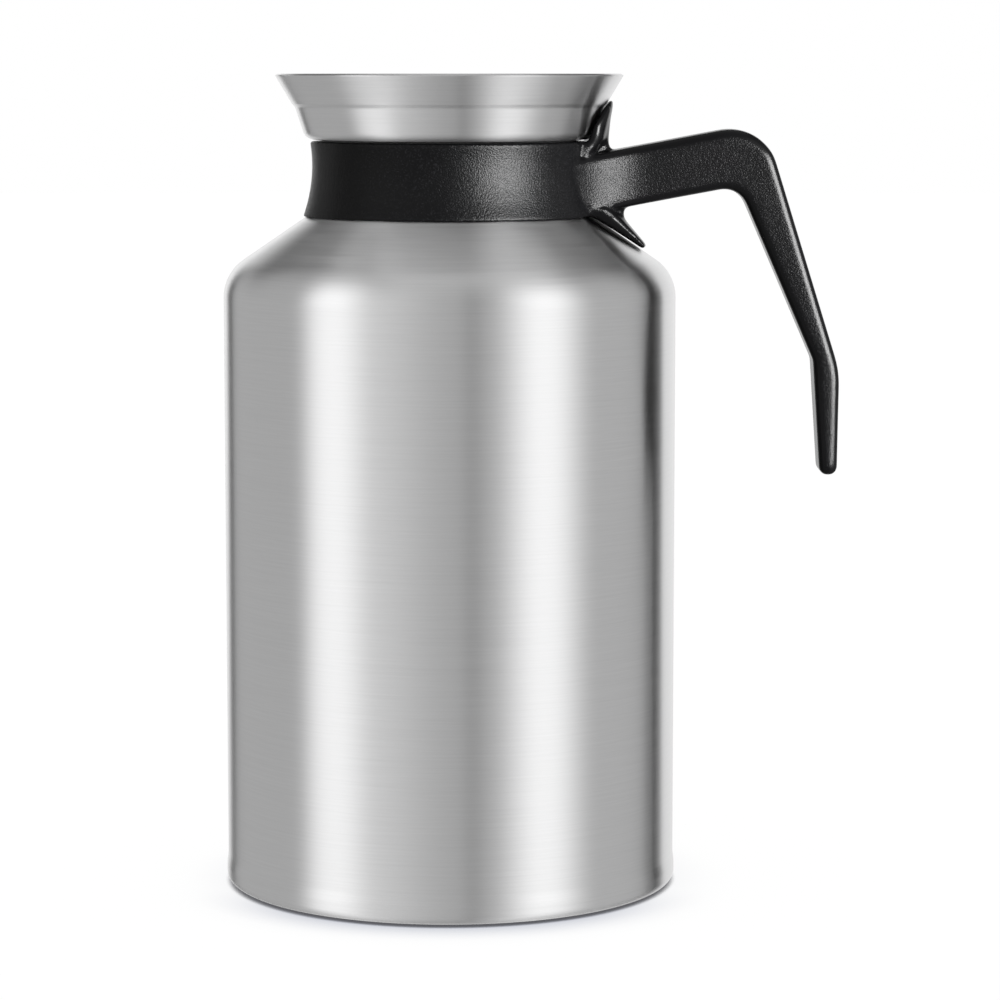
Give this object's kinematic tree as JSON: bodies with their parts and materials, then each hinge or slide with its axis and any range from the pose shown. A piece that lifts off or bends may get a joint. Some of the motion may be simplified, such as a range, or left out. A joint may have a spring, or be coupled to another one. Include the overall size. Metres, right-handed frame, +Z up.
{
  "type": "thermal carafe",
  "caption": "Double-walled steel vacuum carafe with a flared pour mouth, a black moulded collar with an open-ended handle, and a drop-in brew-through lid.",
  "frame": {"origin": "on the carafe's axis, on the surface that it stands on", "axes": "+Z up along the carafe's axis, +X toward the handle, +Y to the side"},
  "size_m": [0.18, 0.1326, 0.2376],
  "materials": {
    "body_steel": "fine brushing around the body, satin",
    "mouth_steel": "fine brushing around the mouth, satin",
    "flask_steel": "drawn, dull",
    "handle_plastic": "black, fine spark-eroded grain with smooth edges",
    "lid_plastic": "black, satin",
    "tube_plastic": "black, satin",
    "seal_rubber": "silicone, matt",
    "pad_rubber": "soft, matt",
    "pin_steel": "ground",
    "getter_metal": "pressed powder",
    "seal_glass": "solder glass"
  },
  "bodies": {
    "carafe": {"outer_shell": "body_steel", "inner_flask": "flask_steel", "flask_floor": "flask_steel", "flask_neck": "flask_steel", "vacuum_base": "flask_steel", "evacuation_seal": "seal_glass", "getter_strap": "flask_steel", "getter_pellet": "getter_metal", "base_cap": "body_steel", "base_pad": "pad_rubber", "neck_lugs": "flask_steel", "pour_mouth": "mouth_steel", "mouth_gasket": "seal_rubber", "throat_ring": "lid_plastic", "collar_seat": "seal_rubber", "handle_collar": "handle_plastic"},
    "lid": {"lid_body": "lid_plastic", "lid_seal": "seal_rubber", "flap_pin": "pin_steel", "mixing_tube": "tube_plastic", "tube_o_ring": "seal_rubber"},
    "flap": {"lid_flap": "lid_plastic"}
  },
  "joints": [
    {"name": "lid_lift", "type": "slide", "parent": "carafe", "child": "lid", "axis": [0, 0, 1], "range_m": [0, 0.215]},
    {"name": "flap_hinge", "type": "hinge", "parent": "lid", "child": "flap", "pos_m": [0.0154, 0, 0.22318], "axis": [0, 1, 0], "range_deg": [0, 155]}
  ]
}
